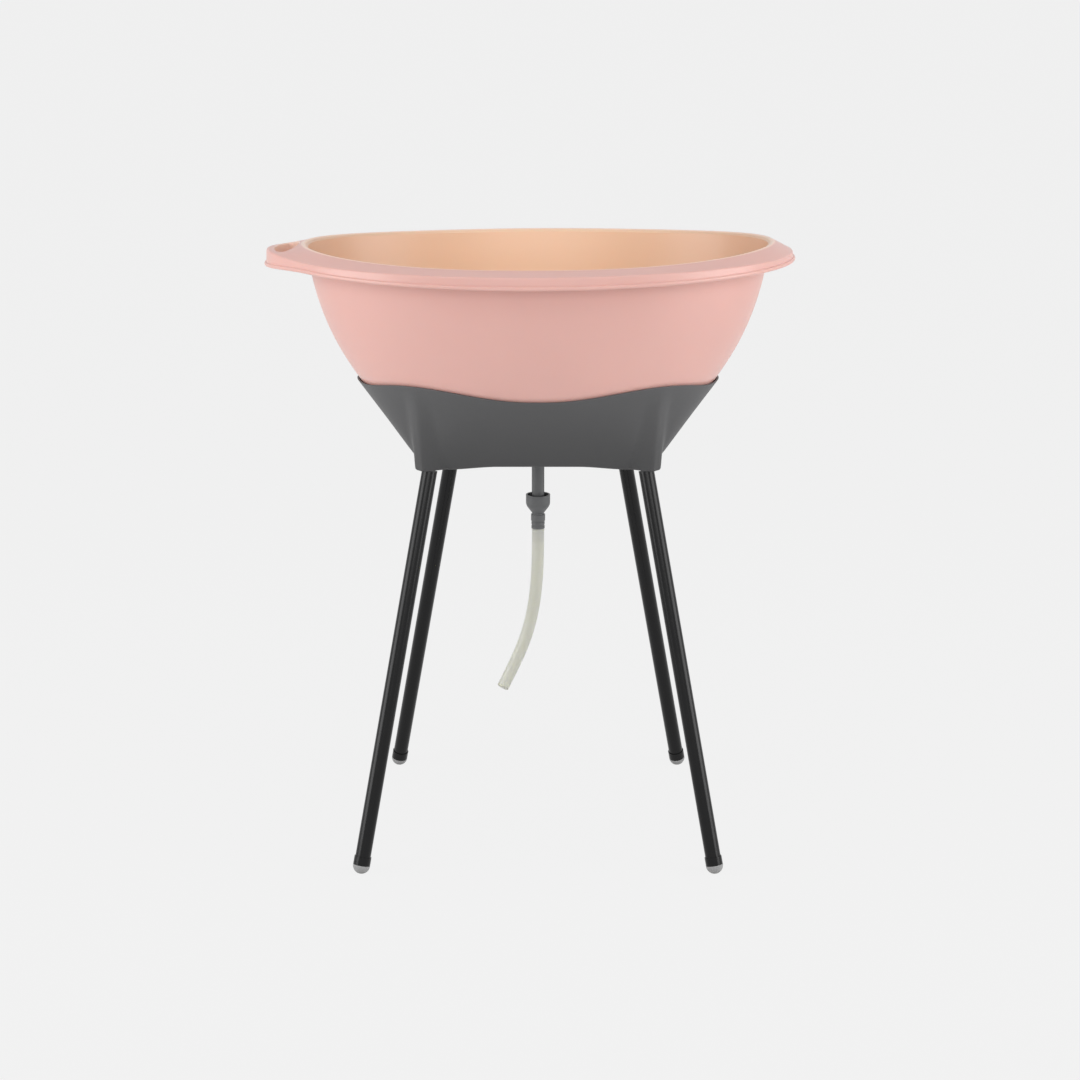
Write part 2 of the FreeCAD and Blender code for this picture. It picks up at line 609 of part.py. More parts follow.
def skirt_reach(x_way, y_way, height, inset):
    """Reach of the cradle wall along a level direction, with the leg housings blended in."""
    reach = []
    for curve, slope in ((LENGTH_CURVE, SKIRT_END_SLOPE_SHARE), (WIDTH_CURVE, SKIRT_SIDE_SLOPE_SHARE)):
        wall = reach_at(curve, max(height, WALL_START))[0] + z.skirt_wall.value + z.skirt_clear.value
        reach.append(wall - slope * max(0.0, WALL_START - height))
    lowest = z.skirt_low.value - z.skirt_dip.value
    down = max(0.0, (FULL_TOP - height) / (FULL_TOP - lowest))
    power = 2.0 + SQUARE_SHARE * down ** SQUARE_FADE_SHARE
    plain = (abs(x_way / reach[0]) ** power + abs(y_way / reach[1]) ** power) ** (-1.0 / power)
    if y_way < 0:
        spot = (z.front_housing_x.value, z.front_housing_y.value)
    else:
        spot = (z.rear_housing_x.value, z.rear_housing_y.value)
    lean = HOUSING_LEAN_SHARE * (height - lowest)
    soft = z.housing_blend.value

    def outside(distance):
        wall = distance - plain
        post = math.hypot(distance * abs(x_way) - spot[0] - lean, distance * abs(y_way) - spot[1] - lean)
        post -= z.housing_radius.value
        share = min(1.0, max(0.0, 0.5 + 0.5 * (post - wall) / soft))
        return post * (1 - share) + wall * share - soft * share * (1 - share) + inset

    high = plain + 4 * z.housing_radius.value
    step = high / 200
    distance = high
    while outside(distance) > 0 and distance > 0:
        distance -= step
    low, high = distance, distance + step
    for _ in range(40):
        distance = (low + high) / 2
        if outside(distance) > 0:
            high = distance
        else:
            low = distance
    return distance


def skirt_ring(share, inset, lift=0.0):
    """A ring of the cradle wall at a share of the way from its lower to its upper edge, or lifted off it."""
    points = []
    for i in range(SKIRT_POINTS):
        turn = 2 * math.pi * i / SKIRT_POINTS
        x_way, y_way = math.cos(turn), math.sin(turn)
        oval_turn = math.degrees(math.atan2(
            abs(y_way) / z.crest_half_width.value, abs(x_way) / z.crest_half_length.value))
        blend = math.sin(math.radians(oval_turn)) ** 2
        top = z.skirt_end_top.value * (1 - blend) + z.skirt_side_top.value * blend
        top += z.skirt_wave.value * bump((oval_turn - WAVE_TURN) / WAVE_HALF_SPAN)
        if y_way < 0:
            corner = math.atan2(z.front_housing_y.value, z.front_housing_x.value)
        else:
            corner = math.atan2(z.rear_housing_y.value, z.rear_housing_x.value)
        slant = math.atan2(abs(y_way), abs(x_way))
        low = z.skirt_low.value - z.skirt_dip.value * bump(math.degrees(slant - corner) / DIP_HALF_SPAN)
        low += z.skirt_end_lift.value * bump(math.degrees(slant) / LIFT_HALF_SPAN)
        height = low + share * (top - low) + lift
        reach = skirt_reach(x_way, y_way, height, inset)
        points.append(V(reach * x_way, reach * y_way, height))
    return ring_wire(points)


def level_ring(height, inset):
    points = []
    for i in range(SKIRT_POINTS):
        turn = 2 * math.pi * i / SKIRT_POINTS
        reach = skirt_reach(math.cos(turn), math.sin(turn), height, inset)
        points.append(V(reach * math.cos(turn), reach * math.sin(turn), height))
    return ring_wire(points)


class Leg:
    """Where one leg hinges, which way it points and how its pin lies."""

    def __init__(self, end, side):
        self.name = end + "_" + side
        self.front = end == "front"
        self.right = 1 if side == "right" else -1
        self.back = -1 if self.front else 1
        self.length = getattr(z, end + "_leg_length")
        self.hinge = self.corner(end + "_hinge", z.hinge_height)
        self.foot = self.corner(end + "_foot", z.foot_centre)
        turn = 0.0 if self.front else math.radians(z.rear_pin_turn.value)
        self.pin = V(math.cos(turn), -self.right * math.sin(turn), 0)
        self.down = (self.foot - self.hinge).normalize()
        self.splay = math.degrees(math.asin(self.down.dot(self.pin)))
        up = (self.pin * self.down.dot(self.pin) - self.down).normalize()
        self.level_turn = Rotation(self.pin, V(0, 0, 1).cross(self.pin), V(0, 0, 1), "XYZ")
        self.hinge_turn = Rotation(self.pin, up.cross(self.pin), up, "XYZ")
        self.tube_turn = self.hinge_turn.multiply(Rotation(V(0, 1, 0), -self.splay))
        self.lean = math.atan2(self.level_turn.inverted().multVec(up).y, up.z)

    def corner(self, name, height):
        """A point of this leg from its sizes along X and Y."""
        along, across = getattr(z, name + "_x"), getattr(z, name + "_y")
        return V(self.right * along.value, self.back * across.value, height.value)

    def spot(self, along):
        """The point of the leg line at a distance from the hinge, in the whole frame."""
        return self.hinge + self.down * along + V(z.middle_x.value, 0, 0)


LEGS = [Leg(end, side) for end in ("front", "rear") for side in ("left", "right")]


def make_cradle():
    wall, top, bottom = z.skirt_wall.value, z.skirt_top_round.value, z.skirt_low_round.value
    lower = [skirt_ring(0.0, bottom * out, bottom * up) for out, up in ROUND_SHARES]
    upper = [skirt_ring(1.0, top * out, -top * up) for out, up in reversed(ROUND_SHARES)]
    middle = [skirt_ring(s, 0.0) for s in SKIRT_RING_SHARES]
    inside = [skirt_ring(s, wall) for s in [0.0] + SKIRT_RING_SHARES + [1.0]]
    faces = band(lower) + band([lower[-1]] + middle + [upper[0]]) + band(upper)
    faces += band([upper[-1], inside[-1]], True) + band(inside) + band([inside[0], lower[0]], True)
    cradle = closed_solid(faces)
    low, thick = z.deck_low.value, z.deck_thick.value
    edge = level_ring(low + thick / 2, wall / 2)
    edge.translate(V(0, 0, -thick / 2))
    deck = Part.Face(edge).extrude(V(0, 0, thick))
    deck = deck.cut(Part.makeCylinder(z.deck_open_radius.value, thick, V(0, 0, low)))
    cradle = cradle.fuse(deck)
    for leg in LEGS:
        cradle = cradle.cut(make_swing(leg)).fuse(make_ears(leg))
    length = z.pin_length.value
    for leg in LEGS:
        bore = Part.makeCylinder(z.pin_radius.value, length, V(-length / 2, 0, 0), V(1, 0, 0))
        bore.Placement = Placement(leg.hinge, leg.level_turn).multiply(bore.Placement)
        cradle = cradle.cut(bore)
    return cradle


def make_ears(leg):
    """The two hinge ears of a leg, hanging from the deck."""
    radius, thick = z.ear_radius.value, z.ear_thick.value
    inner = z.barrel_length.value / 2 + z.barrel_clear.value
    up = z.deck_low.value + z.deck_thick.value / 2 - z.hinge_height.value
    ears = []
    for start in (inner, -inner - thick):
        block = Part.makeBox(thick, 2 * radius, up, V(start, -radius, 0))
        disc = Part.makeCylinder(radius, thick, V(start, 0, 0), V(1, 0, 0))
        ear = block.fuse(disc).removeSplitter()
        ear.Placement = Placement(leg.hinge, leg.level_turn)
        ears.append(ear)
    return Part.makeCompound(ears)


def make_swing(leg):
    """The room that a folding leg takes on its outer side, let into the cradle wall."""
    lean, room = math.radians(abs(leg.splay)), z.tube_radius.value + z.swing_clear.value
    near = z.neck_length.value * math.cos(lean) - room * math.sin(lean) - z.swing_clear.value
    out = math.copysign(1.0, leg.splay)
    points = []
    for reach in (near, z.swing_reach.value):
        points.append(V(out * (reach * math.tan(lean) + room / math.cos(lean)), 0, -reach))
    points = [V(0, 0, -near)] + points + [V(0, 0, -z.swing_reach.value)]
    face = Part.Face(Part.makePolygon(points + points[:1]))
    room = face.revolve(V(0, 0, 0), V(1, 0, 0), -leg.back * z.fold_turn.value)
    room.Placement = Placement(leg.hinge, leg.hinge_turn)
    return room


def make_pin(leg):
    """A hinge pin with chamfered ends."""
    body = new_body("hinge_pin_" + leg.name)
    half, radius = z.pin_length / 2, z.pin_radius
    tip, shoulder = radius - z.pin_chamfer, half - z.pin_chamfer
    revolve(body, [
        (ZERO, -half), (tip, -half), (radius, -shoulder), (radius, shoulder), (tip, half), (ZERO, half)])
    body.Placement = Placement(leg.spot(0.0), leg.level_turn.multiply(Rotation(V(0, 1, 0), 90)))
    return body


def make_pad(right, back):
    """A rest pad between the deck and the underside of the bath."""
    feature = doc.addObject("Part::Cylinder", "rest_pad")
    low = z.deck_low + z.deck_thick
    feature.setExpression("Radius", z.pad_radius.text)
    feature.setExpression("Height", z.pad_height.text)
    place(feature, z.pad_x * right, z.pad_y * back, low)
    return feature


def group(name, features):
    """Equal pieces kept together as one node."""
    compound = doc.addObject("Part::Compound", name)
    compound.Label = name
    compound.Links = features
    return compound


# Legs.
def make_knuckle(leg):
    body = new_body("leg_knuckle_" + leg.name)
    sketch = new_sketch(body, "YZ_Plane")
    draw_circle(sketch, z.barrel_radius)
    pad(body, sketch, z.barrel_length, True)
    collar = -z.neck_length
    seat = collar - z.collar_length
    end = seat - z.spigot_length
    bore = z.tube_radius - z.tube_wall
    revolve(body, [
        (ZERO, ZERO), (z.neck_radius, ZERO), (z.neck_radius, collar), (z.tube_radius, collar),
        (z.tube_radius, seat), (bore, seat), (bore, end), (ZERO, end)], leg.splay)
    add_heel(leg, body)
    sketch = new_sketch(body, "YZ_Plane")
    draw_circle(sketch, z.pin_radius + z.pin_clear)
    pocket(body, sketch, z.barrel_length * 2)
    body.Placement = Placement(leg.spot(0.0), leg.hinge_turn)
    return body


def add_heel(leg, body):
    """The stop that keeps the open leg from swinging further out."""
    sketch = new_sketch(body, "YZ_Plane")
    top = z.deck_low - z.hinge_height
    near, far = z.heel_inset, z.heel_reach
    turned = []
    for along, height in ((near, ZERO), (far, ZERO), (far, top), (near, top)):
        turned.append((
            along * (leg.back * math.cos(leg.lean)) - height * math.sin(leg.lean),
            height * math.cos(leg.lean) + along * (leg.back * math.sin(leg.lean))))
    draw_outline(sketch, turned)
    pad(body, sketch, z.heel_width, True)


def make_tube(leg):
    body = new_body("leg_tube_" + leg.name)
    sketch = new_sketch(body, "XY_Plane")
    draw_circle(sketch, z.tube_radius)
    draw_circle(sketch, z.tube_radius - z.tube_wall)
    pad(body, sketch, leg.length - z.foot_seat - z.neck_length - z.collar_length)
    body.Placement = Placement(leg.spot(leg.length.value - z.foot_seat.value), leg.tube_turn)
    return body


def make_foot(leg):
    name = "foot_cap_" + leg.name
    centre = leg.spot(leg.length.value)
    ball = doc.addObject("Part::Sphere", name + "_ball")
    ball.setExpression("Radius", z.foot_radius.text)
    ball.Placement = Placement(centre, leg.tube_turn)
    sleeve = doc.addObject("Part::Cylinder", name + "_sleeve")
    sleeve.setExpression("Radius", z.foot_radius.text)
    sleeve.setExpression("Height", z.foot_sleeve.text)
    sleeve.Placement = Placement(centre, leg.tube_turn)
    bore = doc.addObject("Part::Cylinder", name + "_bore")
    bore.setExpression("Radius", z.tube_radius.text)
    bore.setExpression("Height", (z.foot_sleeve * 2).text)
    bore.Placement = Placement(leg.spot(leg.length.value - z.foot_seat.value), leg.tube_turn)
    floor = doc.addObject("Part::Box", name + "_floor")
    for side in ("Length", "Width", "Height"):
        floor.setExpression(side, (z.foot_radius * 4).text)
    span = z.foot_radius.value * 4
    floor.Placement = Placement(V(centre.x - span / 2, centre.y - span / 2, -span), Rotation())
    whole = doc.addObject("Part::Fuse", name + "_whole")
    whole.Base, whole.Tool = ball, sleeve
    flat = doc.addObject("Part::Cut", name + "_flat")
    flat.Base, flat.Tool = whole, floor
    cap = doc.addObject("Part::Cut", name)
    cap.Base, cap.Tool = flat, bore
    cap.Refine = True
    cap.Label = name
    return cap


# Drain.
def make_outlet():
    body = new_body("drain_outlet")
    top, under = z.drain_top, z.base_height + z.shell_wall
    thread = z.base_height - z.drain_thread_length
    seat = top - z.drain_seat_depth
    revolve(body, [
        (z.drain_seat_radius, top), (z.drain_flange_radius - z.drain_flange_thick, top),
        (z.drain_flange_radius, under + z.drain_flange_edge), (z.drain_flange_radius, under),
        (z.drain_thread_radius, under), (z.drain_thread_radius, thread), (z.tail_radius, thread),
        (z.tail_radius, z.tail_low), (z.tail_bore, z.tail_low), (z.tail_bore, seat),
        (z.drain_seat_radius, seat)])
    place(body)
    return body


def make_gasket():
    body = new_body("drain_gasket")
    inner = z.drain_thread_radius + z.drain_hole_clear
    revolve(body, [
        (inner, z.gasket_low), (z.gasket_radius, z.gasket_low),
        (z.gasket_radius, z.base_height), (inner, z.base_height)])
    place(body)
    return body


def make_nut():
    body = new_body("drain_locknut")
    sketch = new_sketch(body, "XY_Plane", z.nut_low)
    turns = [math.radians(30 + 60 * i) for i in range(6)]
    draw_outline(sketch, [(z.nut_radius * math.cos(t), z.nut_radius * math.sin(t)) for t in turns])
    block = pad(body, sketch, z.nut_height)
    doc.recompute()
    rims = [
        "Edge%d" % (i + 1) for i, e in enumerate(block.Shape.Edges)
        if abs(e.BoundBox.ZLength) < z.nut_chamfer.value]
    chamfer = body.newObject("PartDesign::Chamfer", "drain_locknut_chamfer")
    chamfer.Base = (block, rims)
    chamfer.setExpression("Size", z.nut_chamfer.text)
    sketch = new_sketch(body, "XY_Plane", z.nut_low)
    draw_circle(sketch, z.drain_thread_radius)
    pocket(body, sketch, z.nut_height * 4)
    place(body)
    return body


def make_plug():
    body = new_body("drain_plug")
    top = z.drain_top + z.plug_head_thick
    low = z.drain_top - z.plug_depth
    stem = z.drain_seat_radius - z.plug_clear
    revolve(body, [
        (ZERO, low), (stem - z.plug_lead, low), (stem, low + z.plug_lead), (stem, z.drain_top),
        (z.plug_head_radius, z.drain_top), (z.plug_head_radius, top - z.plug_lead),
        (z.plug_head_radius - z.plug_lead, top), (ZERO, top)])
    sketch = new_sketch(body, "XY_Plane", z.drain_top + z.plug_head_thick / 2)
    x, y = z.plug_tab_length / 2, z.plug_tab_thick / 2
    draw_outline(sketch, [(-x, -y), (x, -y), (x, y), (-x, y)])
    tab = pad(body, sketch, z.plug_head_thick / 2 + z.plug_tab_height)
    doc.recompute()
    peak = tab.Shape.BoundBox.ZMax
    rims = [
        "Edge%d" % (i + 1) for i, e in enumerate(tab.Shape.Edges)
        if e.BoundBox.ZMin > peak - z.plug_tab_round.value]
    fillet = body.newObject("PartDesign::Fillet", "drain_plug_fillet")
    fillet.Base = (tab, rims)
    fillet.setExpression("Radius", z.plug_tab_round.text)
    place(body)
    return body


# Hose.
def make_connector():
    body = new_body("hose_connector")
    mouth = z.mouth_height
    cup, cup_low = mouth - z.cup_depth, mouth - z.cup_length
    cone = cup_low - z.cone_length
    ring = mouth - z.ring_drop
    ring_low = ring - z.ring_length
    rib_a = ring_low - z.rib_gap
    rib_a_low = rib_a - z.rib_length
    rib_b = rib_a_low - z.rib_gap
    end = z.hose_top - z.spout_length
    turned = revolve(body, [
        (z.cup_bore, mouth), (z.cup_radius, mouth), (z.cup_radius, cup_low), (z.throat_radius, cone),
        (z.throat_radius, ring), (z.ring_radius, ring), (z.ring_radius, ring_low),
        (z.throat_radius, ring_low), (z.throat_radius, rib_a), (z.rib_radius, rib_a),
        (z.rib_radius, rib_a_low), (z.throat_radius, rib_a_low), (z.throat_radius, rib_b),
        (z.rib_radius, rib_b), (z.rib_radius, z.hose_top), (z.spout_radius, z.hose_top),
        (z.spout_radius, end), (z.spout_bore, end), (z.spout_bore, cup), (z.cup_bore, cup)])
    doc.recompute()
    bend = [
        "Edge%d" % (i + 1) for i, e in enumerate(turned.Shape.Edges)
        if e.Closed and abs(e.BoundBox.ZMax - cup_low.value) < z.cup_floor.value / 2]
    fillet = body.newObject("PartDesign::Fillet", "hose_connector_fillet")
    fillet.Base = (turned, bend)
    fillet.setExpression("Radius", z.cup_round.text)
    place(body)
    return body


def make_seal():
    body = new_body("connector_seal")
    top = z.mouth_height - z.seal_drop
    low = top - z.seal_length
    inner = z.tail_radius + z.seal_clear
    revolve(body, [(inner, low), (z.cup_bore, low), (z.cup_bore, top), (inner, top)])
    place(body)
    return body


def hose_line():
    """Straight runs joined by tangent arcs along the hose route."""
    drop, top = z.hose_drop.value, z.hose_top.value
    route = [V(x * drop, 0, top - down * drop) for x, down in HOSE_ROUTE_SHARES]
    edges, start = [], route[0]
    for i in range(1, len(route) - 1):
        before, after = route[i] - route[i - 1], route[i + 1] - route[i]
        cut = RUN_SHARE * min(before.Length, after.Length)
        half_turn = before.getAngle(after) / 2
        radius = cut / math.tan(half_turn)
        print("hose bend %d radius %.0f mm" % (i, radius))
        first = route[i] - before.normalize() * cut
        last = route[i] + after.normalize() * cut
        inward = (first + last) * 0.5 - route[i]
        centre = route[i] + inward.normalize() * (radius / math.cos(half_turn))
        middle = centre + (route[i] - centre).normalize() * radius
        edges.append(Part.makeLine(start, first))
        edges.append(Part.Arc(first, middle, last).toShape())
        start = last
    edges.append(Part.makeLine(start, route[-1]))
    return Part.Wire(edges)


def make_hose():
    line = hose_line()
    outer, inner = z.hose_radius.value, z.spout_radius.value
    top = V(0, 0, z.hose_top.value)
    pipes = []
    for radius in (outer, inner):
        ring = Part.Wire([Part.makeCircle(radius, top, V(0, 0, 1))])
        pipes.append(line.makePipeShell([ring], True, False))
    hose = pipes[0].cut(pipes[1])
    want = math.pi * (outer ** 2 - inner ** 2) * line.Length
    print("hose volume %.0f, section times length %.0f" % (hose.Volume, want))
    return hose


def main():
    nodes = [
        free_form("bath_tub", make_tub()),
        free_form("cradle_shell", make_cradle()),
        group("hinge_pins", [make_pin(leg) for leg in LEGS]),
        group("rest_pads", [make_pad(right, back) for right in (-1, 1) for back in (-1, 1)]),
        free_form("drain_hose", make_hose()),
        make_outlet(), make_gasket(), make_nut(), make_plug(), make_connector(), make_seal(),
    ]
    for leg in LEGS:
        nodes += [make_knuckle(leg), make_tube(leg), make_foot(leg)]
    doc.recompute()
    for node in nodes:
        if "Invalid" in node.State or "Error" in node.State:
            raise RuntimeError(node.Label + " did not compute")
        if node.Shape.isNull() or not node.Shape.isValid():
            raise RuntimeError(node.Label + " has no valid shape")
        node.Shape.exportStep("parts/" + node.Label + ".step")
        print(node.Label, len(node.Shape.Solids), round(node.Shape.Volume))


main()
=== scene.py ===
"""Looks of the baby bath with stand, laid out as an add-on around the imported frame."""
import json
import math

import bmesh
import bpy
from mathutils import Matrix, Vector


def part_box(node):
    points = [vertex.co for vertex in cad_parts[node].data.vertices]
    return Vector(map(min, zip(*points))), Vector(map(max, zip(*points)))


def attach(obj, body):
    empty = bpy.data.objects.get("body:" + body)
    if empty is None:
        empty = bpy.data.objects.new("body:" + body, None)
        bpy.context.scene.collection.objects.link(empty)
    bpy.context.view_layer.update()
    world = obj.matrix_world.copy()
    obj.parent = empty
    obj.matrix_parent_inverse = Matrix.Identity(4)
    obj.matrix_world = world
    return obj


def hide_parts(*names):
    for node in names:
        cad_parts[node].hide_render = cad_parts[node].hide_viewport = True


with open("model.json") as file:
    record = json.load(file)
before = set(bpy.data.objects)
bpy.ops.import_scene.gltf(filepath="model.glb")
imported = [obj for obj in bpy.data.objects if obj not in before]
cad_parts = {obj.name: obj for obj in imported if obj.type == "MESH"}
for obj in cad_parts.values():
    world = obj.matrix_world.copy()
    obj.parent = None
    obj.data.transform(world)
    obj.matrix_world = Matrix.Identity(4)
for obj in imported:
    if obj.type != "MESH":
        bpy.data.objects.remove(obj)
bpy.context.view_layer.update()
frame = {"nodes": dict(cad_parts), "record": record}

bl_info = {
    "name": "Baby bath looks",
    "version": (1, 0, 0),
    "blender": (4, 5, 0),
    "location": "View3D > Sidebar > Baby bath",
    "description": "Finishes, drain hose and studio for the baby bath with stand",
    "category": "Object",
}

LEGS = ("front_left", "front_right", "rear_left", "rear_right")

# The middle line of the stand, where drain and hose hang.
MIDDLE_X = 0.013

# Width of the rim around the basin, at the ends and at the sides of the bath.
RIM_END = 0.050
RIM_SIDE = 0.037

# The painted highlight along the crest: where it runs, as a share of the basin's oval, and how sharply it
# fades on both sides.
CREST_HIGHLIGHT_SHARE = 1.01
CREST_HIGHLIGHT_SHARPNESS = 40.0

# The soap tray in the left end of the rim, whose pocket is painted lighter: its middle, and half its mouth
# along and across the bath.
TRAY_X = -0.37675
TRAY_HALF_LENGTH = 0.0195
TRAY_HALF_WIDTH = 0.052

# Height of the middle of a foot's ball above the floor, and how far its grey sole reaches above that.
BALL_HEIGHT = 0.0125
SOLE_EDGE = 0.0005

# Height above the floor up to which a foot is darkened.
DARKENED_HEIGHT = 0.010

# Grain of satin plastic and of rubber, in patches to the metre.
SATIN_GRAIN = 900.0
RUBBER_GRAIN = 700.0

# Steps around the hose for each quarter of its section, and along each stretch of its line.
HOSE_ROUND_STEPS = 10
HOSE_RUN_STEPS = 12

# Control points of the hose, from the connector down to the free end.
HOSE_ROUTE = (
    (0.013, 0.0, 0.4897),
    (0.013, 0.0, 0.44848),
    (0.01102, 0.0, 0.40135),
    (0.00563, 0.0, 0.35521),
    (-0.00566, 0.0, 0.30907),
    (-0.02382, 0.0, 0.26392),
    (-0.04403, 0.0, 0.2227),
)

# Lamps in the order they are made: power setting, width and height, place, and the point that each faces.
LAMPS = (
    ("side_power", (2.0, 2.4), (-2.7, -1.1, 1.3), (0.0, 0.0, 0.75)),
    ("side_power", (2.0, 2.4), (2.7, -1.1, 1.3), (0.0, 0.0, 0.75)),
    ("top_power", (2.2, 1.6), (0.0, -0.3, 3.0), (0.0, 0.0, 0.8)),
    ("front_power", (2.4, 1.2), (0.0, -3.4, 1.7), (0.0, 0.0, 0.8)),
)

# How light the floor is in the lamps, and how much of what the camera sees there is plain background.
FLOOR_SHADE = 0.9
FLOOR_GLOW = 0.97

# Width of the camera's sensor in millimetres.
SENSOR_WIDTH = 36.0


def rgba(red, green, blue):
    """A colour given in screen values from 0 to 255, turned by the sRGB curve into what shaders need."""
    def linear(value):
        share = value / 255.0
        return share / 12.92 if share <= 0.04045 else ((share + 0.055) / 1.055) ** 2.4

    return linear(red), linear(green), linear(blue), 1.0


def colour(label, note, red, green, blue):
    """A colour that a user can change."""
    return bpy.props.FloatVectorProperty(
        name=label, description=note, subtype="COLOR", size=4, min=0.0, max=1.0,
        default=rgba(red, green, blue))


def length(label, note, metres):
    """A length that a user can change."""
    return bpy.props.FloatProperty(
        name=label, description=note, unit="LENGTH", min=0.0, precision=4, default=metres)


class BathColours(bpy.types.PropertyGroup):
    """Colours of the finishes."""

    rose: colour("Rose", "Outside of the bath", 223, 176, 167)
    # Painted light: peach stands in for the light that comes through the wall and warms the inside, which is
    # the same plastic as the outside.
    painted_glow_peach: colour("Peach", "Inside of the bath, warmed by light through the wall", 249, 205, 174)
    # Painted highlight and painted light: cream paints the light caught by the crest's rounded edge, and the
    # lit walls of the soap tray's pocket.
    painted_light_cream: colour("Cream", "Thin edge of the crest, where the wall lets light through", 252, 226, 208)
    slate: colour("Slate", "Moulded cradle", 73, 73, 74)
    black: colour("Black", "Coating of the leg tubes", 13, 13, 14)
    ash: colour("Ash", "Feet", 158, 158, 158)
    milk: colour("Milk", "Drain hose", 238, 238, 226)
    graphite: colour("Graphite", "Drain outlet, locknut and hose connector", 95, 96, 97)
    soot: colour("Soot", "Rubber plug, seals and pads", 48, 48, 49)
    steel: colour("Steel", "Hinge pins", 190, 190, 192)
    paper: colour("Paper", "Floor and background", 242, 242, 242)


class HoseSizes(bpy.types.PropertyGroup):
    """Sizes of the drain hose."""

    diameter: length("Diameter", "Outer diameter of the hose", 0.0194)
    wall: length("Wall", "Wall of the hose", 0.0024)
    run: length("Length", "Length of the hose", 0.2765)


class StudioSettings(bpy.types.PropertyGroup):
    """Camera, lamps and floor."""

    lens: bpy.props.FloatProperty(
        name="Lens", description="Focal length in millimetres", default=80.63, min=10.0, max=300.0)
    camera_side: length("Camera side", "Camera, distance to the right of the origin", 0.0161)
    camera_back: length("Camera back", "Camera, distance in front of the origin", 3.745)
    camera_height: length("Camera height", "Camera, height above the floor", 1.459)
    camera_pitch: bpy.props.FloatProperty(
        name="Camera pitch", description="How far the camera looks down", subtype="ANGLE",
        default=math.radians(14.8))
    side_power: bpy.props.FloatProperty(
        name="Side lamps", description="Power of each side lamp in watts", default=54.0, min=0.0)
    top_power: bpy.props.FloatProperty(
        name="Top lamp", description="Power of the lamp above the bath in watts", default=16.0, min=0.0)
    front_power: bpy.props.FloatProperty(
        name="Front lamp", description="Power of the lamp before the bath in watts", default=24.0, min=0.0)
    fill: bpy.props.FloatProperty(
        name="Fill", description="Strength of the even light from all round", default=0.27, min=0.0)
    floor_width: length("Floor width", "Width of the floor", 80.0)


class Value:
    """A socket that varies over a surface; arithmetic on it adds Math nodes."""

    def __init__(self, paint, socket):
        self.paint = paint
        self.socket = socket

    def _math(self, operation, first, second):
        return self.paint.node("ShaderNodeMath", {"operation": operation}, {0: first, 1: second})

    def __add__(self, other):
        return self._math("ADD", self, other)

    def __sub__(self, other):
        return self._math("SUBTRACT", self, other)

    def __rsub__(self, other):
        return self._math("SUBTRACT", other, self)

    def __mul__(self, other):
        return self._math("MULTIPLY", self, other)

    def __truediv__(self, other):
        return self._math("DIVIDE", self, other)

    def __pow__(self, other):
        return self._math("POWER", self, other)

    def __gt__(self, other):
        return self._math("GREATER_THAN", self, other)

    def __lt__(self, other):
        return self._math("LESS_THAN", self, other)

    __radd__ = __add__
    __rmul__ = __mul__


class Paint:
    """The nodes of one finish."""

    def __init__(self, name, tree=None):
        self.material = None
        if tree is None:
            self.material = bpy.data.materials.new(name)
            self.material.use_nodes = True
            tree = self.material.node_tree
        self.tree = tree
        self.tree.nodes.clear()

    def node(self, kind, settings=None, sockets=None, output=0):
        """Add a node: its settings first, then the values or links of its sockets."""
        node = self.tree.nodes.new(kind)
        for key, setting in (settings or {}).items():
            if key == "stops":
                self.set_stops(node.color_ramp, setting)
            else:
                setattr(node, key, setting)
        for key, value in (sockets or {}).items():
            if isinstance(value, Value):
                self.tree.links.new(value.socket, node.inputs[key])
            else:
                node.inputs[key].default_value = value
        return Value(self, node.outputs[output]) if len(node.outputs) else None

    def set_stops(self, ramp, stops):
        while len(ramp.elements) < len(stops):
            ramp.elements.new(0.5)
        for element, (place, shade) in zip(ramp.elements, stops):
            element.position = place
            element.color = (shade, shade, shade, 1.0)

    def place(self):
        """Where a point is, in the frame of the whole object."""
        return self.node("ShaderNodeTexCoord", output="Object")

    def split(self, vector):
        """The three numbers of a vector."""
        return [self.node("ShaderNodeSeparateXYZ", None, {0: vector}, axis) for axis in "XYZ"]

    def noise(self, scale, detail, stretch=None):
        """Cloudy noise with about this many patches to the metre."""
        where = self.place()
        if stretch is not None:
            where = self.node("ShaderNodeMapping", None, {"Vector": where, "Scale": stretch})
        return self.node("ShaderNodeTexNoise", None, {"Vector": where, "Scale": scale, "Detail": detail})

    def ramp(self, value, stops):
        return self.node("ShaderNodeValToRGB", {"stops": stops}, {0: value})

    def mix(self, share, first, second):
        """Blend two colours."""
        return self.node("ShaderNodeMix", {"data_type": "RGBA"}, {0: share, 6: first, 7: second}, 2)

    def bump(self, height, strength, depth):
        return self.node("ShaderNodeBump", None, {"Height": height, "Strength": strength, "Distance": depth})

    def finish(self, **sockets):
        """Close the material with one shader; socket names are written with underscores."""
        named = {key.replace("_", " "): value for key, value in sockets.items()}
        shader = self.node("ShaderNodeBsdfPrincipled", None, named)
        self.node("ShaderNodeOutputMaterial", None, {"Surface": shader})
        return self.material


def shade(tint, factor):
    """A lighter or darker kind of a colour."""
    return tuple(min(1.0, part * factor) for part in tint[:3]) + (1.0,)


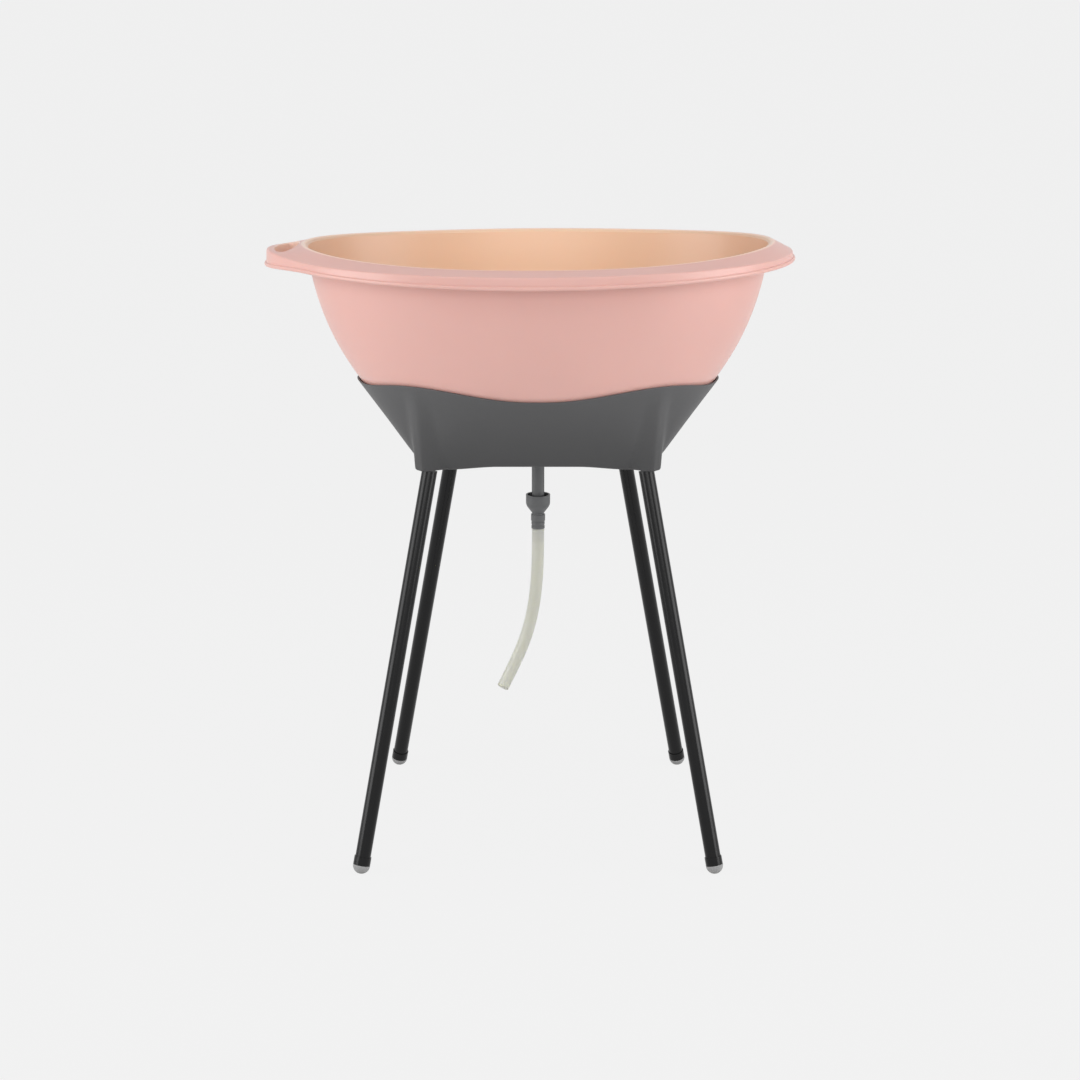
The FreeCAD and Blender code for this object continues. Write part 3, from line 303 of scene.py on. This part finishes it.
def rose_plastic(colours):
    """Semi-gloss moulded plastic of the bath with a fine moulded skin, with painted light that makes the
    inside warmer, a painted highlight on the crest and painted light in the soap tray's pocket.
    """
    paint = Paint("rose_plastic")
    x, y, z = paint.split(paint.place())
    _, _, facing = paint.split(paint.node("ShaderNodeTexCoord", output="Normal"))
    low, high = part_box("bath_tub")
    half_length = (high.x - low.x) / 2 - RIM_END
    half_width = (high.y - low.y) / 2 - RIM_SIDE
    spread = ((x - MIDDLE_X) / half_length) ** 2.0 + (y / half_width) ** 2.0
    inside = (spread < 1.0) * (facing > 0.0)
    # Painted highlight: a thin cream line along the crest, where its rounded edge catches the light.
    crest = 1.0 - ((spread - CREST_HIGHLIGHT_SHARE) * CREST_HIGHLIGHT_SHARPNESS) ** 2.0
    # Painted light: the soap tray's pocket is made paler with cream, lifting the shade that falls in it.
    tray_spread = ((x - TRAY_X) / TRAY_HALF_LENGTH) ** 2.0 + (y / TRAY_HALF_WIDTH) ** 2.0
    painted_tray_light = (tray_spread < 1.0) * (facing > -0.1)
    cloud = paint.noise(scale=7.0, detail=3.0)
    outer = paint.mix(cloud, shade(colours.rose, 0.97), shade(colours.rose, 1.03))
    # Painted light: the inside is lighter and warmer toward the low middle and darker toward the rim,
    # standing in for light that comes through the wall.
    middle = 1.0 - ((x - MIDDLE_X) / half_length) ** 2.0
    raised = (z - low.z) / (high.z - low.z)
    glow = middle * (1.32 - 0.7 * raised)
    painted_inside_tint = paint.mix(glow, shade(colours.painted_glow_peach, 0.72), shade(colours.painted_glow_peach, 1.14))
    tint = paint.mix(inside, outer, painted_inside_tint)
    tint = paint.mix(0.6 * painted_tray_light, tint, colours.painted_light_cream)
    skin = paint.noise(scale=900.0, detail=3.0)
    return paint.finish(
        Base_Color=paint.mix(0.75 * crest, tint, colours.painted_light_cream),
        Roughness=0.27 + 0.08 * paint.noise(scale=40.0, detail=4.0) + 0.04 * skin,
        Normal=paint.bump(skin, strength=0.06, depth=0.0004),
        Subsurface_Weight=0.15,
        Subsurface_Radius=(1.0, 0.5, 0.3),
        Subsurface_Scale=0.006,
        IOR=1.49)


def slate_moulding(colours):
    """Satin dark moulding with a fine eroded grain, with painted shade that darkens it towards its lower
    edge.
    """
    paint = Paint("slate_moulding")
    _, _, height = paint.split(paint.place())
    low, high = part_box("cradle_shell")
    raised = (height - low.z) / (high.z - low.z)
    grain = paint.noise(scale=1500.0, detail=4.0)
    cloud = paint.noise(scale=9.0, detail=4.0)
    # Painted shade: the moulding is darker towards its lower edge and lighter towards its top, as if lit
    # from above.
    tint = paint.mix(0.8 * raised + 0.2 * cloud, shade(colours.slate, 0.55), shade(colours.slate, 1.32))
    return paint.finish(
        Base_Color=paint.mix(paint.ramp(grain, [(0.35, 0.0), (0.8, 0.25)]), tint, shade(colours.slate, 1.5)),
        Roughness=0.40 + 0.14 * grain + 0.06 * cloud,
        Normal=paint.bump(grain, strength=0.16, depth=0.0004),
        IOR=1.49)


def black_coating(colours):
    """Gloss powder coating with a slight orange peel."""
    paint = Paint("black_coating")
    peel = paint.noise(scale=420.0, detail=2.0)
    dust = paint.noise(scale=60.0, detail=6.0)
    return paint.finish(
        Base_Color=paint.mix(dust, shade(colours.black, 0.85), shade(colours.black, 1.3)),
        Roughness=0.17 + 0.08 * dust,
        Normal=paint.bump(peel, strength=0.04, depth=0.0006),
        Specular_IOR_Level=0.26)


def matt_plastic(name, tint, scale, rough):
    """Plain moulded plastic with a fine grain."""
    paint = Paint(name)
    grain = paint.noise(scale, detail=3.0)
    cloud = paint.noise(scale=30.0, detail=4.0)
    return paint.finish(
        Base_Color=paint.mix(cloud, shade(tint, 0.92), shade(tint, 1.08)),
        Roughness=rough - 0.08 + 0.16 * grain,
        Normal=paint.bump(grain, strength=0.10, depth=0.0003))


def dark_rubber(name, colours):
    """Matt black rubber of the seals and pads."""
    return matt_plastic(name, shade(colours.soot, 0.6), RUBBER_GRAIN, rough=0.7)


def leg_line(leg):
    """The middle of a foot's ball and the direction from there up the leg."""
    record = frame["record"]
    floor = next(mount["pos_m"] for mount in record["mounts"] if mount["name"] == leg + "_foot")
    hinge = next(joint["pos_m"] for joint in record["behaviour"]["joints"] if joint["name"] == leg + "_fold")
    ball = Vector(floor) + Vector((0.0, 0.0, BALL_HEIGHT))
    return ball, (Vector(hinge) - ball).normalized()


def foot_plastic(colours, leg):
    """A foot with a black sleeve and a grey sole, with a scuffed grain, and a little darker near the floor.
    """
    paint = Paint("foot_plastic_" + leg)
    ball, along = leg_line(leg)
    where = paint.place()
    _, _, height = paint.split(where)
    rise = paint.node("ShaderNodeVectorMath", {"operation": "DOT_PRODUCT"}, {0: where, 1: along}, "Value")
    sole = rise < ball.dot(along) + SOLE_EDGE
    scuff = paint.noise(scale=260.0, detail=6.0, stretch=(1.0, 1.0, 0.35))
    # Darker towards the floor, in a patchy band.
    low = paint.ramp(height / DARKENED_HEIGHT + 0.5 * scuff, [(0.15, 1.0), (1.0, 0.0)])
    clean = paint.mix(scuff, shade(colours.ash, 0.94), shade(colours.ash, 1.06))
    darker_low = paint.mix(0.45 * low, clean, shade(colours.ash, 0.45))
    return paint.finish(
        Base_Color=paint.mix(sole, colours.black, darker_low),
        Roughness=0.22 + (0.2 + 0.2 * scuff) * sole,
        Normal=paint.bump(scuff, strength=0.08, depth=0.0004),
        Specular_IOR_Level=0.26)


def milky_plastic(colours):
    """Soft see-through hose plastic, cloudy along its length."""
    paint = Paint("milky_plastic")
    drawn = paint.noise(scale=120.0, detail=4.0, stretch=(1.0, 1.0, 0.06))
    return paint.finish(
        Base_Color=paint.mix(drawn, shade(colours.milk, 0.93), shade(colours.milk, 1.05)),
        Roughness=0.26 + 0.12 * drawn,
        Normal=paint.bump(drawn, strength=0.05, depth=0.0006),
        Transmission_Weight=0.35,
        Subsurface_Weight=0.5,
        Subsurface_Radius=(1.0, 1.0, 0.8),
        Subsurface_Scale=0.004,
        IOR=1.42)


def brushed_steel(colours):
    """Drawn steel of the hinge pins."""
    paint = Paint("brushed_steel")
    drawn = paint.noise(scale=900.0, detail=3.0, stretch=(0.05, 1.0, 1.0))
    return paint.finish(
        Base_Color=paint.mix(drawn, shade(colours.steel, 0.85), shade(colours.steel, 1.05)),
        Roughness=0.28 + 0.15 * drawn,
        Metallic=1.0)


def dress(node, material):
    """Give a CAD node its finish."""
    mesh = frame["nodes"][node].data
    mesh.materials.clear()
    mesh.materials.append(material)


def new_piece(name, mesh, material, body, node):
    """Put a finished mesh in the scene, on its body, in place of a CAD node."""
    piece = bpy.data.objects.new(name, mesh)
    bpy.context.scene.collection.objects.link(piece)
    mesh.materials.clear()
    mesh.materials.append(material)
    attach(piece, body)
    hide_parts(node)
    return piece


class BATH_OT_tub(bpy.types.Operator):
    """Finish the bath tub"""

    bl_idname = "baby_bath.tub"
    bl_label = "Bath tub"

    def execute(self, context):
        dress("bath_tub", rose_plastic(context.scene.bath_colours))
        return {"FINISHED"}


class BATH_OT_drain(bpy.types.Operator):
    """Finish the outlet, its locknut, its gasket and the plug"""

    bl_idname = "baby_bath.drain"
    bl_label = "Drain"

    def execute(self, context):
        colours = context.scene.bath_colours
        outlet = matt_plastic("outlet_plastic", colours.graphite, SATIN_GRAIN, rough=0.42)
        dress("drain_outlet", outlet)
        dress("drain_locknut", outlet)
        dress("drain_gasket", dark_rubber("gasket_rubber", colours))
        dress("drain_plug", matt_plastic("plug_rubber", colours.soot, RUBBER_GRAIN, rough=0.62))
        return {"FINISHED"}


class BATH_OT_cradle(bpy.types.Operator):
    """Finish the cradle, its hinge pins and the rest pads"""

    bl_idname = "baby_bath.cradle"
    bl_label = "Cradle"

    def execute(self, context):
        colours = context.scene.bath_colours
        dress("cradle_shell", slate_moulding(colours))
        dress("hinge_pins", brushed_steel(colours))
        dress("rest_pads", dark_rubber("pad_rubber", colours))
        return {"FINISHED"}


class BATH_OT_legs(bpy.types.Operator):
    """Finish the leg tubes, knuckles and feet"""

    bl_idname = "baby_bath.legs"
    bl_label = "Legs"

    def execute(self, context):
        colours = context.scene.bath_colours
        tube = black_coating(colours)
        knuckle = matt_plastic("knuckle_plastic", shade(colours.black, 1.4), SATIN_GRAIN, rough=0.48)
        for leg in LEGS:
            dress("leg_tube_" + leg, tube)
            dress("leg_knuckle_" + leg, knuckle)
            dress("foot_cap_" + leg, foot_plastic(colours, leg))
        return {"FINISHED"}


class BATH_OT_hose(bpy.types.Operator):
    """Make the drain hose and finish its connector"""

    bl_idname = "baby_bath.hose"
    bl_label = "Drain hose"

    def execute(self, context):
        colours = context.scene.bath_colours
        sizes = context.scene.bath_hose
        dress("hose_connector", matt_plastic("connector_plastic", colours.graphite, SATIN_GRAIN, rough=0.42))
        dress("connector_seal", dark_rubber("seal_rubber", colours))
        line = self.hose_curve()
        path = [tuple(v.co) for v in self.as_mesh(line).vertices]
        line.bevel_depth = sizes.diameter / 2
        line.bevel_resolution = HOSE_ROUND_STEPS
        tube = self.as_mesh(line)
        tube.shade_smooth()
        hose = new_piece(
            "hose_tube", tube, milky_plastic(colours), "hose", "drain_hose")
        wall = hose.modifiers.new("wall", "SOLIDIFY")
        wall.thickness = sizes.wall
        wall.offset = -1.0
        return {"FINISHED"}

    def hose_curve(self):
        """The middle line of the hose as a smooth spline through its route."""
        curve = bpy.data.curves.new("hose_line", "CURVE")
        curve.dimensions = "3D"
        curve.use_fill_caps = False
        spline = curve.splines.new("NURBS")
        spline.points.add(len(HOSE_ROUTE) - 1)
        for point, spot in zip(spline.points, HOSE_ROUTE):
            point.co = (*spot, 1.0)
        spline.order_u = 3
        spline.use_endpoint_u = True
        spline.resolution_u = HOSE_RUN_STEPS
        return curve

    def as_mesh(self, curve):
        holder = bpy.data.objects.new("hose_holder", curve)
        mesh = bpy.data.meshes.new_from_object(holder)
        bpy.data.objects.remove(holder)
        return mesh


class BATH_OT_studio(bpy.types.Operator):
    """Set up the floor, the soft lamps and the camera"""

    bl_idname = "baby_bath.studio"
    bl_label = "Studio"

    def execute(self, context):
        studio = context.scene.bath_studio
        paper = context.scene.bath_colours.paper
        self.make_floor(studio, paper)
        self.make_world(context.scene, studio, paper)
        for power, size, spot, target in LAMPS:
            self.make_lamp(power.replace("power", "lamp"), getattr(studio, power), size, spot, target)
        self.make_camera(context.scene, studio)
        context.scene.view_settings.view_transform = "Standard"
        return {"FINISHED"}

    def make_floor(self, studio, paper):
        bm = bmesh.new()
        bmesh.ops.create_grid(bm, x_segments=1, y_segments=1, size=studio.floor_width / 2)
        mesh = bpy.data.meshes.new("floor")
        bm.to_mesh(mesh)
        bm.free()
        floor = bpy.data.objects.new("floor", mesh)
        bpy.context.scene.collection.objects.link(floor)
        paint = Paint("floor_paper")
        seen = self.seen_rays(paint)
        plain = paint.node("ShaderNodeBsdfDiffuse", None, {"Color": shade(paper, FLOOR_SHADE)})
        glow = paint.node("ShaderNodeEmission", None, {"Color": paper, "Strength": 1.0})
        surface = paint.node("ShaderNodeMixShader", None, {0: FLOOR_GLOW * seen, 1: plain, 2: glow})
        paint.node("ShaderNodeOutputMaterial", None, {"Surface": surface})
        mesh.materials.append(paint.material)

    def seen_rays(self, paint):
        """One for rays that show the background, straight or in gloss and see-through pieces."""
        kinds = ("Is Camera Ray", "Is Glossy Ray", "Is Transmission Ray")
        rays = [paint.node("ShaderNodeLightPath", output=kind) for kind in kinds]
        total = rays[0] + rays[1] + rays[2]
        return total > 0.5

    def make_world(self, scene, studio, paper):
        scene.world = bpy.data.worlds.new("studio")
        scene.world.use_nodes = True
        paint = Paint("studio", scene.world.node_tree)
        seen = self.seen_rays(paint)
        strength = studio.fill + (1.0 - studio.fill) * seen
        light = paint.node("ShaderNodeBackground", None, {"Color": paper, "Strength": strength})
        paint.node("ShaderNodeOutputWorld", None, {"Surface": light})

    def make_lamp(self, name, power, size, spot, target):
        data = bpy.data.lights.new(name, "AREA")
        data.shape = "RECTANGLE"
        data.size, data.size_y = size
        data.energy = power
        lamp = bpy.data.objects.new(name, data)
        bpy.context.scene.collection.objects.link(lamp)
        lamp.location = spot
        lamp.rotation_euler = (Vector(target) - Vector(spot)).to_track_quat("-Z", "Y").to_euler()

    def make_camera(self, scene, studio):
        data = bpy.data.cameras.new("camera")
        data.sensor_width = SENSOR_WIDTH
        data.lens = studio.lens
        camera = bpy.data.objects.new("camera", data)
        scene.collection.objects.link(camera)
        camera.location = (studio.camera_side, -studio.camera_back, studio.camera_height)
        camera.rotation_euler = (math.pi / 2 - studio.camera_pitch, 0.0, 0.0)
        scene.camera = camera


STEPS = (BATH_OT_tub, BATH_OT_drain, BATH_OT_cradle, BATH_OT_legs, BATH_OT_hose, BATH_OT_studio)


class BATH_PT_panel(bpy.types.Panel):
    """Buttons for the finishing steps and their values"""

    bl_idname = "BATH_PT_panel"
    bl_label = "Baby bath"
    bl_space_type = "VIEW_3D"
    bl_region_type = "UI"
    bl_category = "Baby bath"

    def draw(self, context):
        for step in STEPS:
            self.layout.operator(step.bl_idname)
        for group in (context.scene.bath_colours, context.scene.bath_hose, context.scene.bath_studio):
            box = self.layout.box()
            for key in group.__annotations__:
                box.prop(group, key)


GROUPS = {"bath_colours": BathColours, "bath_hose": HoseSizes, "bath_studio": StudioSettings}


def register():
    for cls in (*GROUPS.values(), *STEPS, BATH_PT_panel):
        bpy.utils.register_class(cls)
    for name, cls in GROUPS.items():
        setattr(bpy.types.Scene, name, bpy.props.PointerProperty(type=cls))


def unregister():
    for name in GROUPS:
        delattr(bpy.types.Scene, name)
    for cls in reversed((*GROUPS.values(), *STEPS, BATH_PT_panel)):
        bpy.utils.unregister_class(cls)


def main():
    register()
    bpy.ops.baby_bath.tub()
    bpy.ops.baby_bath.drain()
    bpy.ops.baby_bath.cradle()
    bpy.ops.baby_bath.legs()
    bpy.ops.baby_bath.hose()
    bpy.ops.baby_bath.studio()


if __name__ == "__main__":
    main()
